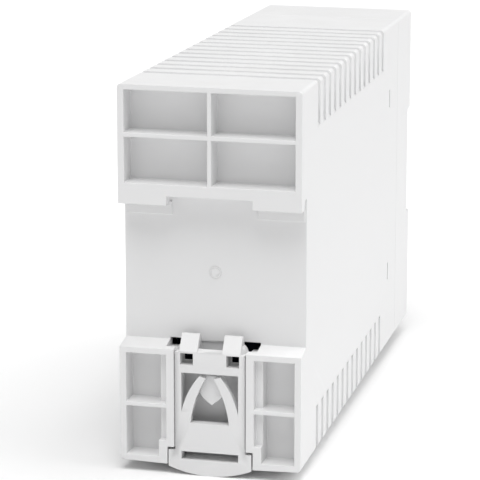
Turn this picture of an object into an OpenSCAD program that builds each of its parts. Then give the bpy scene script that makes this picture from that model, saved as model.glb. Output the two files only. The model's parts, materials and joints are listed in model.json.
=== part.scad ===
// Power supply that clips on a 35 mm mounting rail, as an assembly.
// Every shape is drawn in x (across), y (depth from the rail end towards
// the terminals) and z (height above the lower blocks). seated() then
// puts it in the part's own frame, with the terminals facing -Y.

/* [Housing] */
// Width across the sides at the rail end
body_w = 43.7; // [43:0.1:60]
// Height of the housing at the rail end
body_h = 90; // [89:0.5:120]
// Depth from the rail end to the terminal faces
body_d = 140; // [138:1:180]
// Draft of each side over the whole depth
draft_side = 1.7; // [0:0.1:2]
// Draft of the top and of the bottom over the whole depth
draft_top = 1.9; // [0:0.1:2.2]
// Wall thickness of housing and cover
wall = 2; // [1.6:0.1:2.4]
// Radius of the four long edges
corner_r = 0.9; // [0.5:0.1:1.4]
// Rise of the arched top
crown = 0.4; // [0.1:0.1:0.8]

/* [Rail seat] */
// Width of the mounting rail
rail_w = 35; // [35:0.1:35.2]
// Height of the slot that takes the rail
rail_slot = 35.4; // [35.2:0.1:36]
// Height of the rail's centre line above the lower blocks
rail_mid = 46.4; // [45:0.1:50]
// Depth of the recess behind the rail
recess_d = 5.5; // [5.2:0.1:8]
// How far the hook lip reaches over the rail's upper edge
hook_reach = 2.2; // [1.5:0.1:3]
// Thickness of the hook lip at its tip
lip_t = 2.6; // [2:0.1:3.5]
// Drop of the lower shelf from the recess wall to the rail end
shelf_drop = 1; // [0.5:0.1:2]
// Half width of the cut-out in the middle of the hook lip
lip_gap = 10.2; // [6:0.1:14]
// Thickness of the two raised pads on the recess wall
pad_t = 0.5; // [0.2:0.1:1]
// Height of the raised pads below the lip
pad_h = 3.2; // [2:0.1:6]
// Room for the rail's flange between the pads and the lip
flange_gap = 1.2; // [1.1:0.05:1.5]
// How much deeper the foot's channel is than the recess
channel_deeper = 0.3; // [0.1:0.05:0.4]

/* [Pockets] */
// Side wall beside the pockets
pocket_rim = 1.6; // [1.2:0.1:2.4]
// Wall over the upper pockets
pocket_lid = 1.3; // [1:0.1:2]
// Thickness of the ribs between the pockets
rib_t = 1; // [0.8:0.1:1.6]
// Solid band between the upper pockets and the lip
hook_band = 5; // [4:0.1:8]
// Wall above and below the lower pockets
block_rim = 1.45; // [1.2:0.05:2]
// Depth of the shelf strip beside the foot
strip_d = 2; // [1:0.1:2.4]

/* [Ribbed ends] */
// Number of grooves over the top and over the bottom
groove_n = 14; // [8:1:14]
// Distance from one groove to the next
groove_pitch = 6.13; // [5.5:0.01:6.3]
// Depth of the first groove from the rail end
groove_first = 18.4; // [14:0.1:22]
// Width of a groove
groove_w = 2.7; // [1.6:0.1:3.2]
// How deep a groove is cut
groove_t = 0.9; // [0.5:0.1:1.1]
// How far the grooves run down the sides
groove_run = 11; // [6:0.5:14]

/* [Rail foot] */
// Width of the foot between its guides
foot_w = 16.7; // [14:0.1:18]
// Width of the pull tab at the foot's lower end
tab_w = 20; // [18:0.1:21]
// How far the pull tab dips below the lower blocks
foot_dip = 2.6; // [2:0.1:4]
// Thickness of the foot's plate
foot_t = 2.8; // [2.4:0.1:3]
// Thickness of the guided edges and the crossbar's ends
foot_deep = 4.3; // [4:0.1:4.6]
// Thickness of the spring arms
arm_t = 1.6; // [1.2:0.1:1.8]
// Gap between the foot and its channel
foot_gap = 0.3; // [0.2:0.05:0.4]
// Travel of the foot
foot_travel = 4; // [3:0.5:4]

/* [Front cover] */
// Depth of the cover from the seam to the terminal faces
cover_d = 19.5; // [19:0.5:22]
// How far the middle of the face stands back
face_step = 3.2; // [2:0.1:4]
// Lower edge of the upper terminal zone
zone_top = 61.2; // [58:0.1:66]
// Upper edge of the lower terminal zone
zone_low = 32.5; // [30:0.1:36]
// Width of the seam between housing and cover
seam_gap = 0.2; // [0.1:0.05:0.3]

/* [Terminals] */
// Distance between neighbouring poles
pole_pitch = 7.5; // [7.5:0.1:8]
// Poles of the output terminal
out_poles = 4; // [1:1:4]
// Poles of the input terminal
in_poles = 3; // [1:1:4]
// Height of the output screws
out_screw_z = 68.5; // [67:0.1:72]
// Height of the input screws
in_screw_z = 24; // [20:0.1:26]
// Distance from a screw to its wire entry
wire_pitch = 8.5; // [8:0.1:9]
// Radius of a screw's head
head_r = 1.9; // [1.7:0.05:2]
// Radius of a screw's shank
shank_r = 1.3; // [1.1:0.05:1.4]
// Radial clearance of a part that turns in its hole
turn_gap = 0.08; // [0.03:0.01:0.1]
// Travel of a clamping jaw
jaw_travel = 1.6; // [1:0.1:1.8]

/* [Board and parts on it] */
// Thickness of the circuit board
board_t = 1.6; // [1.2:0.1:2]
// Gap between the board and the side wall at the front
board_gap = 1.55; // [1.5:0.05:3]
// Radius of the bulk capacitor
bulk_r = 9; // [7:0.5:9.5]
// Height of the bulk capacitor over the board
bulk_h = 28; // [20:1:29]
// Radius of an output capacitor
cap_r = 5; // [4:0.5:5.5]
// Height of an output capacitor over the board
cap_h = 20; // [12:1:28]
// Length of the transformer's core
core_l = 30; // [26:1:32]
// Thickness of the transformer's core
core_w = 10; // [8:1:12]
// Height of the heat sinks over the board
sink_h = 26; // [20:1:29]
// Thickness of the heat sinks
sink_t = 2; // [1.5:0.1:2.5]

/* [Hidden] */

$fn = 48;
eps = 0.01;
over = 1; // how far a cutter stands out of what it cuts

slot_top = rail_mid + rail_slot / 2;
slot_low = rail_mid - rail_slot / 2;
lip_z = slot_top - hook_reach;
shelf_z = slot_low - shelf_drop;
seam = body_d - cover_d;
mid_face = body_d - face_step;
pad_x = lip_gap + 0.1;
pad_inset = 0.4; // from the pads' outer ends to the sides

channel_x = foot_w / 2 + foot_gap;
guide_x = channel_x + 1.15; // half width of the groove that guides the foot
guide_stop = slot_low - 5.9; // top of that groove
strip_x = guide_x + 0.8;
block_x = max(strip_x + 1.8, tab_w / 2 + foot_gap + 1);
tab_top = 3.3;
tab_slot_top = tab_top + 0.6;
bar_top = slot_low - 1.5; // crossbar of the foot
bar_low = bar_top - 4.9;
eye_low = bar_low + 1.9; // windows in the crossbar
eye_high = bar_top - 0.2;
prong_top = slot_top - rail_w + foot_travel / 2;
arms_low = bar_low - 12.1; // root of the spring arms
frame_x = foot_w / 2 - 1.5; // inner edge of the foot's side strips
prong_out = foot_w / 2 - 1.05;
prong_in = prong_out - 4.3;
eye_in = prong_in + 1;
eye_out = prong_out - 0.2;
eye_x = channel_x + 2.25; // outer edge of the openings beside the foot's shoulders

edge_steps = 5;
crown_steps = 12;

board_x = -(half_w(body_d) - wall - board_gap - board_t);
board_top = body_h - 5.5;
board_low = 5.5;
board_back = recess_d + wall + 2;
board_front = body_d - 8;

term_front = body_d - wall - 0.4;
term_back = term_front - 15.6;
head_seat = term_front - 4;
jaw_back = term_back + 3.6;
jaw_l = 7;

latch_y = seam - 11.2;
latch_z = [21.9, 68.9];
latch_h = 4.8;
latch_w = 1.3;

// Trimmer and status lamp behind the face
trim_x = board_x + 5;
trim_z = 42;
led_x = board_x + 4;
led_z = 53;

// Places on the board: y in depth, z in height, t over the board
main_y = (board_back + board_front) / 2 - 9; // middle of the transformer
main_z = body_h / 2;
leg = 3.5; // outer leg of the transformer's core
window = 5;
core_low = 3;
core_high = core_low + 4 * leg + 2 * window;
core_mid = (core_low + core_high) / 2;
bulk_y = board_back + 4 + bulk_r;
bulk_z = board_low + 7 + bulk_r;
row_y = main_y + core_l / 2 + 25; // middle of the parts between transformer and cover
choke = [row_y - 1, main_z - 1];
choke_ring = [8, 4.2, 8]; // outer radius, inner radius, height
choke_wire = 0.9;
coil = [row_y - 4, board_top - 15];
coil_ring = [9, 4.8, 9];
coil_wire = 1.1;
fuse_z = board_low + 9;
fuse_t = 4.5; // fuse axis over the board
fuse_end = 8.5; // from the fuse's middle to its caps
sink_l = 34;
sink_low = board_low + 4;
sink_high = board_top - 4 - sink_t;
package_y = main_y - 6;
screw_t = 17.5;
chip_y = board_back + 26;
pin_step = 2.54;

// Half width and half height of the drafted housing at depth y
function half_w(y) = body_w / 2 - draft_side * y / body_d;
function half_h(y) = body_h / 2 - draft_top * y / body_d;
function arc_points(x, z, r, from, to) =
    [for (i = [0:edge_steps]) let (a = from + (to - from) * i / edge_steps)
        [x + r * cos(a), z + r * sin(a)]];
function crown_points(w, z, rise) = rise == 0 ? [] :
    [for (i = [1:crown_steps - 1]) let (k = 1 - 2 * i / crown_steps)
        [w * k, z + rise * (1 - k * k)]];
// Closed outline of the section, with a flat underside: half width, half height, edge radius
function outline(w, h, r) = concat(
    arc_points(w - r, h - r, r, 0, 90), crown_points(w - r, h, crown),
    arc_points(r - w, h - r, r, 90, 180), arc_points(r - w, r - h, r, 180, 270),
    arc_points(w - r, r - h, r, 270, 360));
function pole_x(i) = board_x + pole_pitch * (i + 0.5);

module seated() translate([0, body_d / 2, foot_dip]) mirror([0, 1, 0]) children();

// Block from its lowest to its highest corner
module block(low, high) translate(low) cube(high - low);
module both_sides() for (s = [0, 1]) mirror([s, 0, 0]) children();

// Outline in x and z, extruded in depth
module plate(y0, y1) translate([0, y1, 0]) rotate([90, 0, 0]) linear_extrude(y1 - y0) children();

// Outline in depth and height, extruded across
module across(x0, x1) translate([x0, 0, 0]) rotate([90, 0, 90]) linear_extrude(x1 - x0) children();

// Round bar along the depth, and one that stands on the board
module rod(x, z, y0, y1, r) translate([x, y0, z]) rotate([-90, 0, 0]) cylinder(h = y1 - y0, r = r);
module post(y, z, t0, t1, r) translate([board_x + t0, y, z]) rotate([0, 90, 0]) cylinder(h = t1 - t0, r = r);
// Block on the board: centre in depth and height, size, height over the board
module chip(y, z, l, w, t0, t1)
    block([board_x + t0, y - l / 2, z - w / 2], [board_x + t1, y + l / 2, z + w / 2]);

// Drafted body between two depths, smaller all round by inset
module drafted(y0, y1, inset = 0, r = corner_r) {
    w0 = half_w(y0) - inset;
    w1 = half_w(y1) - inset;
    h0 = half_h(y0) - inset;
    h1 = half_h(y1) - inset;
    translate([0, y0, body_h / 2]) rotate([-90, 0, 0])
        linear_extrude(y1 - y0, scale = [w1 / w0, h1 / h0], slices = 1, $fn = 0)
            polygon(outline(w0, h0, r));
}

// ---- Housing

module rail_slot_cut() across(-body_w, body_w) polygon([
    [-over, lip_z], [lip_t, lip_z], [recess_d - pad_t - flange_gap, slot_top], [recess_d, slot_top],
    [recess_d, slot_low], [0, shelf_z], [-over, shelf_z]]);

module hook_pockets() {
    low = lip_z + hook_band;
    high = body_h - pocket_lid;
    mid = (low + high) / 2 + 0.35;
    for (z = [[low, mid - rib_t / 2], [mid + rib_t / 2, high]]) both_sides()
        block([rib_t / 2, -over, z[0]], [body_w / 2 - pocket_rim, recess_d, z[1]]);
}

module block_pockets() {
    high = shelf_z - block_rim;
    mid = (block_rim + high) / 2;
    for (z = [[block_rim, mid - rib_t / 2], [mid + rib_t / 2, high]]) both_sides() {
        block([block_x, -over, z[0]], [body_w / 2 - pocket_rim, recess_d, z[1]]);
        block([strip_x, -over, max(z[0], tab_slot_top + 1.5)], [block_x + eps, strip_d, z[1]]);
    }
}

// Channel, guide groove and openings for the foot
module foot_channel() {
    block([-channel_x, -over, -foot_dip], [channel_x, recess_d + channel_deeper, slot_low]);
    tab_x = tab_w / 2 + foot_gap;
    block([-tab_x, -over, -foot_dip], [tab_x, recess_d + channel_deeper, tab_slot_top]);
    block([-guide_x, foot_t + 0.1, -foot_dip], [guide_x, foot_deep + foot_gap, guide_stop]);
    both_sides() {
        block([prong_in + 0.6, recess_d - eps, eye_low - 0.7], [channel_x, recess_d + wall + over, slot_low + 0.45]);
        block([channel_x - eps, 1.8, slot_low - 1.7], [eye_x, recess_d + wall + over, slot_low + 0.45]);
    }
}

// Teardrop boss on the channel floor, behind the foot's spring arms
module arm_boss() {
    r = 2.9;
    z = bar_low - 4.4;
    tip = 3.7; // from the circle's centre down to the point
    a = acos(r / tip);
    plate(arm_t + foot_gap, recess_d + channel_deeper + eps) {
        translate([0, z]) circle(r);
        polygon([[-r * sin(a), z - r * cos(a)], [0, z - tip], [r * sin(a), z - r * cos(a)]]);
        polygon([[-2.4, z + 1.6], [2.4, z + 1.6], [1.5, z + 3.5], [-1.5, z + 3.5]]);
    }
}

// Groove over the top and down both sides, with sloped ends
module groove(y, rise) {
    w = half_w(y + groove_w / 2);
    h = half_h(y + groove_w / 2);
    r = corner_r;
    run = h - groove_run;
    in_w = w - groove_t;
    in_h = h - groove_t;
    ends = [[w + over, run - over], [w, run], [in_w, run + groove_t * 1.4]];
    left_ends = [[-in_w, run + groove_t * 1.4], [-w, run], [-w - over, run - over]];
    plate(y, y + groove_w) polygon(concat(
        ends, arc_points(in_w - r, in_h - r, r, 0, 90), crown_points(in_w - r, in_h, rise),
        arc_points(r - in_w, in_h - r, r, 90, 180), left_ends,
        [[-w - over, h + 2 * over], [w + over, h + 2 * over]]));
}

module grooves() for (i = [0:groove_n - 1]) translate([0, 0, body_h / 2]) {
    y = groove_first - groove_w / 2 + i * groove_pitch;
    groove(y, crown);
    mirror([0, 0, 1]) groove(y, 0);
}

// Rails that hold the board's upper and lower edges
module board_guides() intersection() {
    drafted(recess_d + wall / 2, seam - 9, wall / 2 + 0.05, 0.3);
    for (z = [[0, board_low + 1.5], [board_top - 1.5, body_h]]) {
        block([board_x - board_t - 1.3, 0, z[0]], [board_x - board_t - 0.1, seam, z[1]]);
        block([board_x + 0.1, 0, z[0]], [board_x + 1.3, seam, z[1]]);
    }
}

module housing() seated() color("whitesmoke") {
    difference() {
        drafted(0, seam);
        drafted(recess_d + wall, seam + over, wall, 0.3);
        rail_slot_cut();
        block([-lip_gap, -over, lip_z - over], [lip_gap, recess_d, slot_top]);
        hook_pockets();
        block_pockets();
        foot_channel();
        grooves();
        both_sides() for (z = latch_z)
            block([half_w(latch_y) - wall - over, latch_y - latch_w / 2, z - latch_h / 2],
                [body_w, latch_y + latch_w / 2, z + latch_h / 2]);
    }
    both_sides() block([pad_x, recess_d - pad_t, lip_z - pad_h],
        [half_w(recess_d) - pad_inset, recess_d + eps, lip_z]);
    arm_boss();
    board_guides();
    // Ring of the moulding gate
    plate(recess_d - 0.12, recess_d + eps) translate([0, rail_mid - 0.9]) difference() {
        circle(1.5);
        circle(1.1);
    }
}

// ---- Rail foot

// One spring arm, from its root up to its tip under the crossbar
module arm_outline() translate([frame_x - 6.85, arms_low]) intersection() {
    difference() {
        translate([-12.85, -1.5]) circle(20.1);
        translate([-22.1, -2.8]) circle(26.9);
    }
    polygon([[0.9, -0.1], [7.5, -0.1], [7.5, 5.8], [3.6, 11.7], [1.1, 11]]);
}

module foot_front() {
    arc_r = (pow(tab_w / 2, 2) + pow(1.95, 2)) / (2 * 1.95);
    difference() {
        union() {
            translate([-foot_w / 2, 0]) square([foot_w, bar_top]);
            intersection() {
                translate([-tab_w / 2, -foot_dip]) square([tab_w, foot_dip + tab_top]);
                translate([0, arc_r - foot_dip]) circle(arc_r, $fn = 180);
            }
        }
        translate([-frame_x, arms_low]) square([2 * frame_x, bar_low - arms_low]);
        translate([-frame_x, 1.2]) square([2 * frame_x, 1.95]);
        both_sides() translate([eye_in, eye_low]) square([eye_out - eye_in, eye_high - eye_low]);
    }
}

module foot_prongs() both_sides() {
    across(prong_in, prong_out) polygon([[0, eye_high + eps], [0, bar_top + 0.2], [2.6, prong_top],
        [3.4, prong_top], [foot_deep, prong_top - 1.2], [foot_deep, eye_high]]);
    // Rounded shoulder outside the prong
    plate(1.8, foot_deep) intersection() {
        translate([foot_w / 2 - 2.4, bar_top - 0.3]) circle(2.4);
        translate([prong_out - 0.1, eye_low]) square([3, 6]);
    }
}

module foot_edges() difference() {
    union() {
        // Deep ends of the crossbar and the guided edges
        both_sides() {
            block([prong_in + 0.3, foot_t - eps, bar_low], [foot_w / 2, foot_deep, bar_top]);
            block([frame_x + 0.4, foot_t - eps, tab_top - eps], [foot_w / 2, foot_deep, bar_low + eps]);
            block([foot_w / 2 - eps, foot_t + 0.4, tab_slot_top + 2],
                [guide_x - foot_gap, foot_deep, guide_stop - foot_gap]);
        }
        plate(foot_t - eps, foot_deep) intersection() {
            foot_front();
            translate([-tab_w, -foot_dip]) square([2 * tab_w, foot_dip + tab_top]);
        }
    }
    both_sides() block([eye_in, 0, eye_low], [eye_out, foot_deep + over, eye_high]);
}

module rail_foot() seated() color("gainsboro") {
    difference() {
        plate(0, foot_t) foot_front();
        // The crossbar is thin in the middle, clear of the boss
        block([-prong_in - 0.3, arm_t, bar_low - over], [prong_in + 0.3, foot_t + over, bar_top + over]);
    }
    plate(0, arm_t) both_sides() arm_outline();
    across(-prong_in - 0.1, prong_in + 0.1) polygon([[0, bar_top - 0.1], [0, bar_top], [arm_t, bar_top + 0.7], [arm_t, bar_top - 0.1]]);
    foot_edges();
    foot_prongs();
}

// ---- Front cover

module pole_openings(poles, screw_z, side) for (i = [0:poles - 1]) {
    rod(pole_x(i), screw_z, term_front - over, body_d + over, head_r + 0.1);
    block([pole_x(i) - 2.4, term_front - over, screw_z + side * wire_pitch - 1.9],
        [pole_x(i) + 2.4, body_d + over, screw_z + side * wire_pitch + 1.9]);
}

module cover_latches() both_sides() for (z = latch_z) {
    x = half_w(seam) - wall - 0.2;
    block([x - 1.2, latch_y - 2.4, z - latch_h / 2 + 0.3], [x, seam + 4, z + latch_h / 2 - 0.3]);
    translate([0, 0, z]) linear_extrude(latch_h - 0.6, center = true)
        polygon([[x - eps, latch_y - latch_w / 2 + 0.1], [x + 1.5, latch_y - latch_w / 2 + 0.9],
            [x + 1.5, latch_y + latch_w / 2 - 0.1], [x - eps, latch_y + latch_w / 2 - 0.1]]);
    // Root that joins the tongue to the cover's wall
    block([x - 1.2, seam + 1.2, z - latch_h / 2 + 0.3], [x + 0.8, seam + 4, z + latch_h / 2 - 0.3]);
}

// Hollow of the cover, shallower behind the middle of the face
module cover_hollow() difference() {
    drafted(seam - over, body_d - wall, wall, 0.3);
    block([-body_w, mid_face - wall, zone_low - wall], [body_w, body_d + over, zone_top + wall]);
}

// Frame around the hollow: distance outside the hollow, distance inside it
module frame_plate(y0, y1, out, in) plate(y0, y1) translate([0, body_h / 2]) {
    w = half_w(seam) - wall;
    h = half_h(seam) - wall;
    difference() {
        square([2 * (w + out), 2 * (h + out)], center = true);
        square([2 * (w - in), 2 * (h - in)], center = true);
    }
}

// Lip that sits inside the housing, open where the board passes
module cover_lip() difference() {
    union() {
        frame_plate(seam - 3, seam + 1.5, -0.15, 1.2);
        frame_plate(seam + 0.7, seam + 2.5, 0.5, 1.2);
    }
    block([board_x - board_t - 1.6, 0, 0], [board_x + 1.6, body_d, body_h]);
}

module front_cover() seated() color("whitesmoke") {
    difference() {
        drafted(seam + seam_gap, body_d);
        cover_hollow();
        block([-body_w, mid_face, zone_low], [body_w, body_d + over, zone_top]);
        pole_openings(out_poles, out_screw_z, 1);
        pole_openings(in_poles, in_screw_z, -1);
        rod(trim_x, trim_z, mid_face - wall - over, mid_face + over, 1.95);
        rod(led_x, led_z, mid_face - wall - over, mid_face + over, 1.5);
        // Shallow field for a nameplate
        block([-4, mid_face - 0.3, zone_low + 4], [half_w(body_d) - 4, mid_face + over, zone_top - 4]);
    }
    cover_lip();
    cover_latches();
}

// ---- Terminals. q runs from the screw towards the wire entry.

// Angled jaw, or with a gap and a travel the cavity that it slides in
module jaw_outline(gap = 0, travel = 0) {
    face = wire_pitch - 2.2;
    leg = jaw_back + 1.4 + gap;
    polygon([[jaw_back - gap, -1.2 - gap], [leg, -1.2 - gap], [leg, face - 1 - gap],
        [jaw_back + jaw_l + gap, face - 1 - gap], [jaw_back + jaw_l + gap, face + gap + travel],
        [jaw_back - gap, face + gap + travel]]);
}

module terminal(poles, screw_z, side) {
    translate([0, 0, screw_z]) mirror([0, 0, side < 0 ? 1 : 0]) difference() {
        block([board_x, term_back, -4], [board_x + poles * pole_pitch, term_front, wire_pitch + 4.2]);
        for (i = [0:poles - 1]) {
            x = pole_x(i);
            rod(x, 0, head_seat, term_front + over, head_r + turn_gap);
            rod(x, 0, jaw_back, head_seat + eps, shank_r + turn_gap);
            block([x - 2.6, term_back + 3, wire_pitch - 1.9], [x + 2.6, term_front + over, wire_pitch + 1.9]);
            across(x - 2.6, x + 2.6) jaw_outline(0.3, jaw_travel);
            block([x - 2.3, term_back - over, wire_pitch + 1.8], [x + 2.3, term_front - 3, wire_pitch + 2.8]);
        }
    }
}

module contacts(poles, screw_z, side)
    translate([0, 0, screw_z]) mirror([0, 0, side < 0 ? 1 : 0]) for (i = [0:poles - 1]) {
        x = pole_x(i);
        tail = term_back - 0.6 - 1.3 * (i + 1);
        block([x - 2.3, term_back - 0.6, wire_pitch + 1.9], [x + 2.3, term_front - 3, wire_pitch + 2.8]);
        block([x - 0.5, tail, wire_pitch + 1.9], [x + 0.5, term_back - 0.5, wire_pitch + 2.8]);
        block([board_x, tail, wire_pitch + 1.9], [x + 0.5, tail + 0.8, wire_pitch + 2.8]);
    }

module terminal_screw(i, screw_z) seated() color("silver") difference() {
    union() {
        rod(pole_x(i), screw_z, head_seat + foot_gap, head_seat + 2.5, head_r);
        rod(pole_x(i), screw_z, jaw_back + 2, head_seat + foot_gap + eps, shank_r);
    }
    for (a = [0, 90]) translate([pole_x(i), head_seat + 2.5, screw_z]) rotate([0, a, 0])
        cube([2 * head_r - 0.8, 2, 0.6], center = true);
}

module terminal_jaw(i, screw_z, side) seated() color("goldenrod")
    translate([0, 0, screw_z]) mirror([0, 0, side < 0 ? 1 : 0])
        across(pole_x(i) - 2.3, pole_x(i) + 2.3) jaw_outline();

module output_terminal() seated() color("lightgreen") terminal(out_poles, out_screw_z, 1);
module input_terminal() seated() color("lightgreen") terminal(in_poles, in_screw_z, -1);
module output_contacts() seated() color("goldenrod") contacts(out_poles, out_screw_z, 1);
module input_contacts() seated() color("goldenrod") contacts(in_poles, in_screw_z, -1);

// ---- Board and the parts on it

module main_board() seated() color("seagreen") difference() {
    block([board_x - board_t, board_back, board_low], [board_x, board_front, board_top]);
    for (y = [board_back + 5, board_front - 4], z = [board_low + 6.5, board_top - 5])
        translate([board_x - board_t - over, y, z]) rotate([0, 90, 0]) cylinder(h = board_t + 2 * over, r = 1.25);
}

module insulating_sheet() seated() color("ivory")
    block([board_x - board_t - 0.9, board_back + 2, board_low + 3],
        [board_x - board_t - 0.5, latch_y - 5, board_top - 3]);

// The transformer's winding axis runs in depth
module transformer_core() seated() color("dimgray") difference() {
    chip(main_y, main_z, core_l, core_w, core_low, core_high);
    for (t = [core_low + leg, core_mid + leg])
        chip(main_y, main_z, core_l - 2 * window, core_w + 2 * over, t, t + window);
}

module transformer_bobbin() seated() color("saddlebrown") {
    half = core_l / 2 - window;
    difference() {
        union() {
            chip(main_y, main_z, 2 * half - 0.4, core_w + 2.4, core_mid - leg - 1.2, core_mid + leg + 1.2);
            for (s = [-1, 1]) {
                y = main_y + s * (half - 0.7);
                chip(y, main_z, 1, core_w + 14, core_low + leg + 0.3, core_high - leg - 0.3);
                for (q = [-1, 1]) {
                    chip(y, main_z + q * (core_w / 2 + 3.7), 1, 6.6, 0, core_low + leg + 0.4);
                    chip(y + s * 2, main_z + q * (core_w / 2 + 3.7), 5, 6.6, 0, 2.4);
                }
            }
        }
        chip(main_y, main_z, core_l, core_w + 0.2, core_mid - leg - 0.1, core_mid + leg + 0.1);
    }
}

module transformer_winding() seated() color("gold") {
    l = core_l - 2 * window - 2.6;
    h = window - 1.5;
    difference() {
        translate([board_x + core_mid, main_y, main_z]) rotate([90, 0, 0])
            linear_extrude(l, center = true) {
                square([2 * (leg + h), core_w + 2 * h], center = true);
                square([2 * leg, core_w + 4 + 2 * h], center = true);
            }
        chip(main_y, main_z, core_l, core_w + 2.6, core_mid - leg - 1.3, core_mid + leg + 1.3);
    }
}

// Can with a rolled groove near its foot and a vent cross on its top
module can(y, z, r, h) difference() {
    translate([board_x + 0.3, y, z]) rotate([0, 90, 0]) rotate_extrude()
        polygon([[0, 0], [r - 0.6, 0], [r, 0.6], [r, 1.6], [r - 0.5, 2.1], [r - 0.5, 2.5],
            [r, 3], [r, h - 1.1], [r - 0.8, h - 0.3], [0, h - 0.3]]);
    for (a = [0, 90]) translate([board_x + h, y, z]) rotate([a, 0, 0])
        cube([0.6, 1.1 * r, 0.5], center = true);
}

module bulk_capacitor() seated() color("midnightblue") can(bulk_y, bulk_z, bulk_r, bulk_h);

module output_capacitors() seated() color("midnightblue")
    for (p = [[0, 0], [1, 0], [0, 1]])
        can(board_back + 6 + cap_r + p[0] * (2 * cap_r + 2),
            board_top - 6 - cap_r - p[1] * (2 * cap_r + 2), cap_r, cap_h);

// Ring core lying on the board, and the wire wound on sectors of it
module ring(place, size, t0) difference() {
    post(place[0], place[1], t0, t0 + size[2], size[0]);
    post(place[0], place[1], t0 - over, t0 + size[2] + over, size[1]);
}
module wound(place, size, t0, wire, parts, angle)
    translate([board_x + t0, place[0], place[1]]) rotate([0, 90, 0])
        for (k = [0:parts - 1]) rotate([0, 0, k * 360 / parts]) rotate_extrude(angle = angle)
            difference() {
                thick = size[0] - size[1];
                translate([size[1] - wire, -wire]) square([thick + 2 * wire, size[2] + 2 * wire]);
                translate([size[1], 0]) square([thick, size[2]]);
            }

module choke_core() seated() color("darkslategray") ring(choke, choke_ring, choke_wire + 0.1);
module choke_windings() seated() color("peru") wound(choke, choke_ring, choke_wire + 0.1, choke_wire, 2, 125);
module inductor_core() seated() color("khaki") ring(coil, coil_ring, coil_wire + 0.1);
module inductor_winding() seated() color("peru") wound(coil, coil_ring, coil_wire + 0.1, coil_wire, 1, 290);

module mains_capacitor() seated() color("goldenrod") chip(row_y, board_low + 22, 18, 8, 0, 14);
module snubber_capacitor() seated() color("firebrick") chip(main_y - 13, board_low + 20, 11, 5, 0, 9);
module safety_capacitors() seated() color("royalblue")
    for (z = [main_z + 4, main_z + 17]) translate([board_x + 5.5, main_y + core_l / 2 + 5, z])
        rotate([-90, 0, 0]) cylinder(h = 3, r = 4);

module fuse_tube() seated() color("white") rod(board_x + fuse_t, fuse_z, row_y - 6, row_y + 6, 2.4);
module fuse_caps() seated() color("silver") for (s = [-1, 1])
    rod(board_x + fuse_t, fuse_z, row_y + s * fuse_end - 2.5, row_y + s * fuse_end + 2.5, 2.6);
module fuse_clips() seated() color("silver") for (s = [-1, 1]) difference() {
    chip(row_y + s * fuse_end, fuse_z, 3, 6.8, 0, 6);
    rod(board_x + fuse_t, fuse_z, row_y + s * fuse_end - 2, row_y + s * fuse_end + 2, 2.6);
    chip(row_y + s * fuse_end, fuse_z, 4, 3.6, fuse_t, 7);
}

module surge_varistor() seated() color("royalblue") translate([board_x + 7, row_y - 15, fuse_z])
    rotate([-90, 0, 0]) cylinder(h = 4, r = 5.5);
module inrush_thermistor() seated() color("darkolivegreen")
    translate([board_x + 6, row_y - 15, fuse_z + 13]) rotate([-90, 0, 0]) cylinder(h = 4, r = 4.5);
module bridge_rectifier() seated() color("dimgray") difference() {
    chip(main_y + 6, board_low + 18, 15, 3.6, 2, 13);
    translate([board_x + 8, main_y + 6, board_low + 15]) rotate([-90, 0, 0]) translate([0, 0, -over])
        cylinder(h = 2 * over, r = 0.4);
}

// Heat sinks stand on the board along its lower and upper edges
module sink(z, flange) {
    chip(main_y, z + sink_t / 2, sink_l, sink_t, 0, sink_h);
    chip(main_y, z + sink_t / 2 + flange * 3, sink_l, sink_t + 6, sink_h - sink_t, sink_h);
}
module sink_hole(z) translate([board_x + screw_t, package_y, z - over]) cylinder(h = sink_t + 2 * over, r = 1.6);

module primary_heatsink() seated() color("silver") difference() {
    sink(sink_low, 1);
    sink_hole(sink_low);
}
module secondary_heatsink() seated() color("silver") difference() {
    sink(sink_high, -1);
    sink_hole(sink_high);
}

// Flat power package: moulded body and metal tab with a hole
module package(z, side) translate([0, 0, z]) mirror([0, 0, side < 0 ? 1 : 0]) difference() {
    union() {
        chip(package_y, 2.3, 10, 4.4, 5, 14);
        chip(package_y, 0.75, 10, 1.3, 13, 20.5);
        for (s = [-1, 0, 1]) chip(package_y + s * pin_step, 2.5, 0.8, 0.6, 0, 5.5);
    }
    translate([board_x + screw_t, package_y, -over]) cylinder(h = 4, r = 1.75);
}
module switch_transistor() seated() color("dimgray") package(sink_low + sink_t, 1);
module output_diode() seated() color("dimgray") package(sink_high, -1);

module clamp_screw(z, side) translate([board_x + screw_t, package_y, z]) mirror([0, 0, side < 0 ? 1 : 0]) {
    translate([0, 0, -sink_t]) cylinder(h = sink_t + 1.5, r = 1.5);
    translate([0, 0, 1.4]) difference() {
        cylinder(h = 1.8, r = 2.7);
        translate([0, 0, 1.6]) cube([4, 0.7, 1], center = true);
    }
}
module heatsink_screws() seated() color("silver") {
    clamp_screw(sink_low + sink_t, 1);
    clamp_screw(sink_high, -1);
}

module control_chip() seated() color("dimgray") {
    chip(chip_y, main_z + 1, 9.5, 6.4, 0.6, 4);
    for (k = [-1.5:1.5], s = [-1, 1]) chip(chip_y + pin_step * k, main_z + 1 + s * 3.7, 1, 1, 0, 2.4);
}
module optocoupler() seated() color("white") {
    chip(chip_y, main_z - 9, 4.8, 6.4, 0.6, 4);
    for (k = [-0.5, 0.5], s = [-1, 1]) chip(chip_y + pin_step * k, main_z - 9 + s * 3.7, 1, 1, 0, 2.4);
}
module chip_resistors() seated() color("dimgray")
    for (k = [0:3], m = [0, 1]) chip(board_back + 6 + 3.4 * k, main_z - 6 + 4 * m, 2, 1.25, 0, 0.6);

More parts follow.
